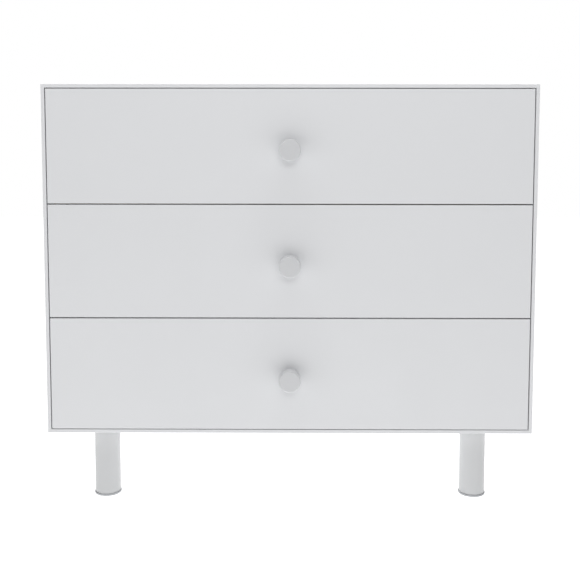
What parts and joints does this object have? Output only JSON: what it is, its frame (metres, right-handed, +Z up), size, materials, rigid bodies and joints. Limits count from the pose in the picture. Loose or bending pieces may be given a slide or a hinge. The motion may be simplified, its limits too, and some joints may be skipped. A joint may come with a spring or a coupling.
{
  "type": "changing table",
  "caption": "Low white chest of wide drawers on round legs, used as a changing table: inset fronts in a thin mitred case, one round knob on each.",
  "frame": {"origin": "on the floor, under the middle of the whole footprint, knobs included", "axes": "+Z up, the drawer fronts face -Y, +X to the right of someone who looks at the fronts"},
  "size_m": [1.048, 0.558, 0.902],
  "materials": {
    "case_lacquer": "satin",
    "front_lacquer": "satin",
    "leg_lacquer": "satin",
    "knob_lacquer": "satin",
    "birch_ply": "clear satin",
    "thin_board": "matte",
    "beech": "raw",
    "zinc_steel": "zinc plated",
    "glide_plastic": "matte"
  },
  "bodies": {
    "case": {"back_panel": "thin_board", "back_rail": "birch_ply", "back_screws": "zinc_steel", "case_bottom": "case_lacquer", "case_runner_screws": "zinc_steel", "case_runners_bottom": "zinc_steel", "case_runners_middle": "zinc_steel", "case_runners_top": "zinc_steel", "case_side_left": "case_lacquer", "case_side_right": "case_lacquer", "case_top": "case_lacquer", "front_rail_lower": "birch_ply", "front_rail_upper": "birch_ply", "glide_back_left": "glide_plastic", "glide_back_right": "glide_plastic", "glide_front_left": "glide_plastic", "glide_front_right": "glide_plastic", "leg_back_left": "leg_lacquer", "leg_back_right": "leg_lacquer", "leg_bolts": "zinc_steel", "leg_front_left": "leg_lacquer", "leg_front_right": "leg_lacquer", "leg_inserts": "zinc_steel", "mitre_splines": "beech", "rail_dowels": "beech"},
    "top_drawer": {"top_drawer_base": "thin_board", "top_drawer_box_back": "birch_ply", "top_drawer_box_front": "birch_ply", "top_drawer_front": "front_lacquer", "top_drawer_knob": "knob_lacquer", "top_drawer_knob_bolt": "zinc_steel", "top_drawer_runners": "zinc_steel", "top_drawer_screws": "zinc_steel", "top_drawer_side_left": "birch_ply", "top_drawer_side_right": "birch_ply"},
    "top_runner_carriage": {"middle_runners_top": "zinc_steel"},
    "middle_drawer": {"middle_drawer_base": "thin_board", "middle_drawer_box_back": "birch_ply", "middle_drawer_box_front": "birch_ply", "middle_drawer_front": "front_lacquer", "middle_drawer_knob": "knob_lacquer", "middle_drawer_knob_bolt": "zinc_steel", "middle_drawer_runners": "zinc_steel", "middle_drawer_screws": "zinc_steel", "middle_drawer_side_left": "birch_ply", "middle_drawer_side_right": "birch_ply"},
    "middle_runner_carriage": {"middle_runners_middle": "zinc_steel"},
    "bottom_drawer": {"bottom_drawer_base": "thin_board", "bottom_drawer_box_back": "birch_ply", "bottom_drawer_box_front": "birch_ply", "bottom_drawer_front": "front_lacquer", "bottom_drawer_knob": "knob_lacquer", "bottom_drawer_knob_bolt": "zinc_steel", "bottom_drawer_runners": "zinc_steel", "bottom_drawer_screws": "zinc_steel", "bottom_drawer_side_left": "birch_ply", "bottom_drawer_side_right": "birch_ply"},
    "bottom_runner_carriage": {"middle_runners_bottom": "zinc_steel"}
  },
  "joints": [
    {"name": "top_drawer_slide", "type": "slide", "parent": "case", "child": "top_drawer", "axis": [0, -1, 0], "range_m": [0, 0.42]},
    {"name": "top_runner_slide", "type": "slide", "parent": "case", "child": "top_runner_carriage", "axis": [0, -1, 0], "range_m": [0, 0.21]},
    {"name": "middle_drawer_slide", "type": "slide", "parent": "case", "child": "middle_drawer", "axis": [0, -1, 0], "range_m": [0, 0.42]},
    {"name": "middle_runner_slide", "type": "slide", "parent": "case", "child": "middle_runner_carriage", "axis": [0, -1, 0], "range_m": [0, 0.21]},
    {"name": "bottom_drawer_slide", "type": "slide", "parent": "case", "child": "bottom_drawer", "axis": [0, -1, 0], "range_m": [0, 0.42]},
    {"name": "bottom_runner_slide", "type": "slide", "parent": "case", "child": "bottom_runner_carriage", "axis": [0, -1, 0], "range_m": [0, 0.21]}
  ],
  "couplings": [
    {"joint": "top_runner_slide", "follows": "top_drawer_slide", "ratio": 0.5},
    {"joint": "middle_runner_slide", "follows": "middle_drawer_slide", "ratio": 0.5},
    {"joint": "bottom_runner_slide", "follows": "bottom_drawer_slide", "ratio": 0.5}
  ]
}
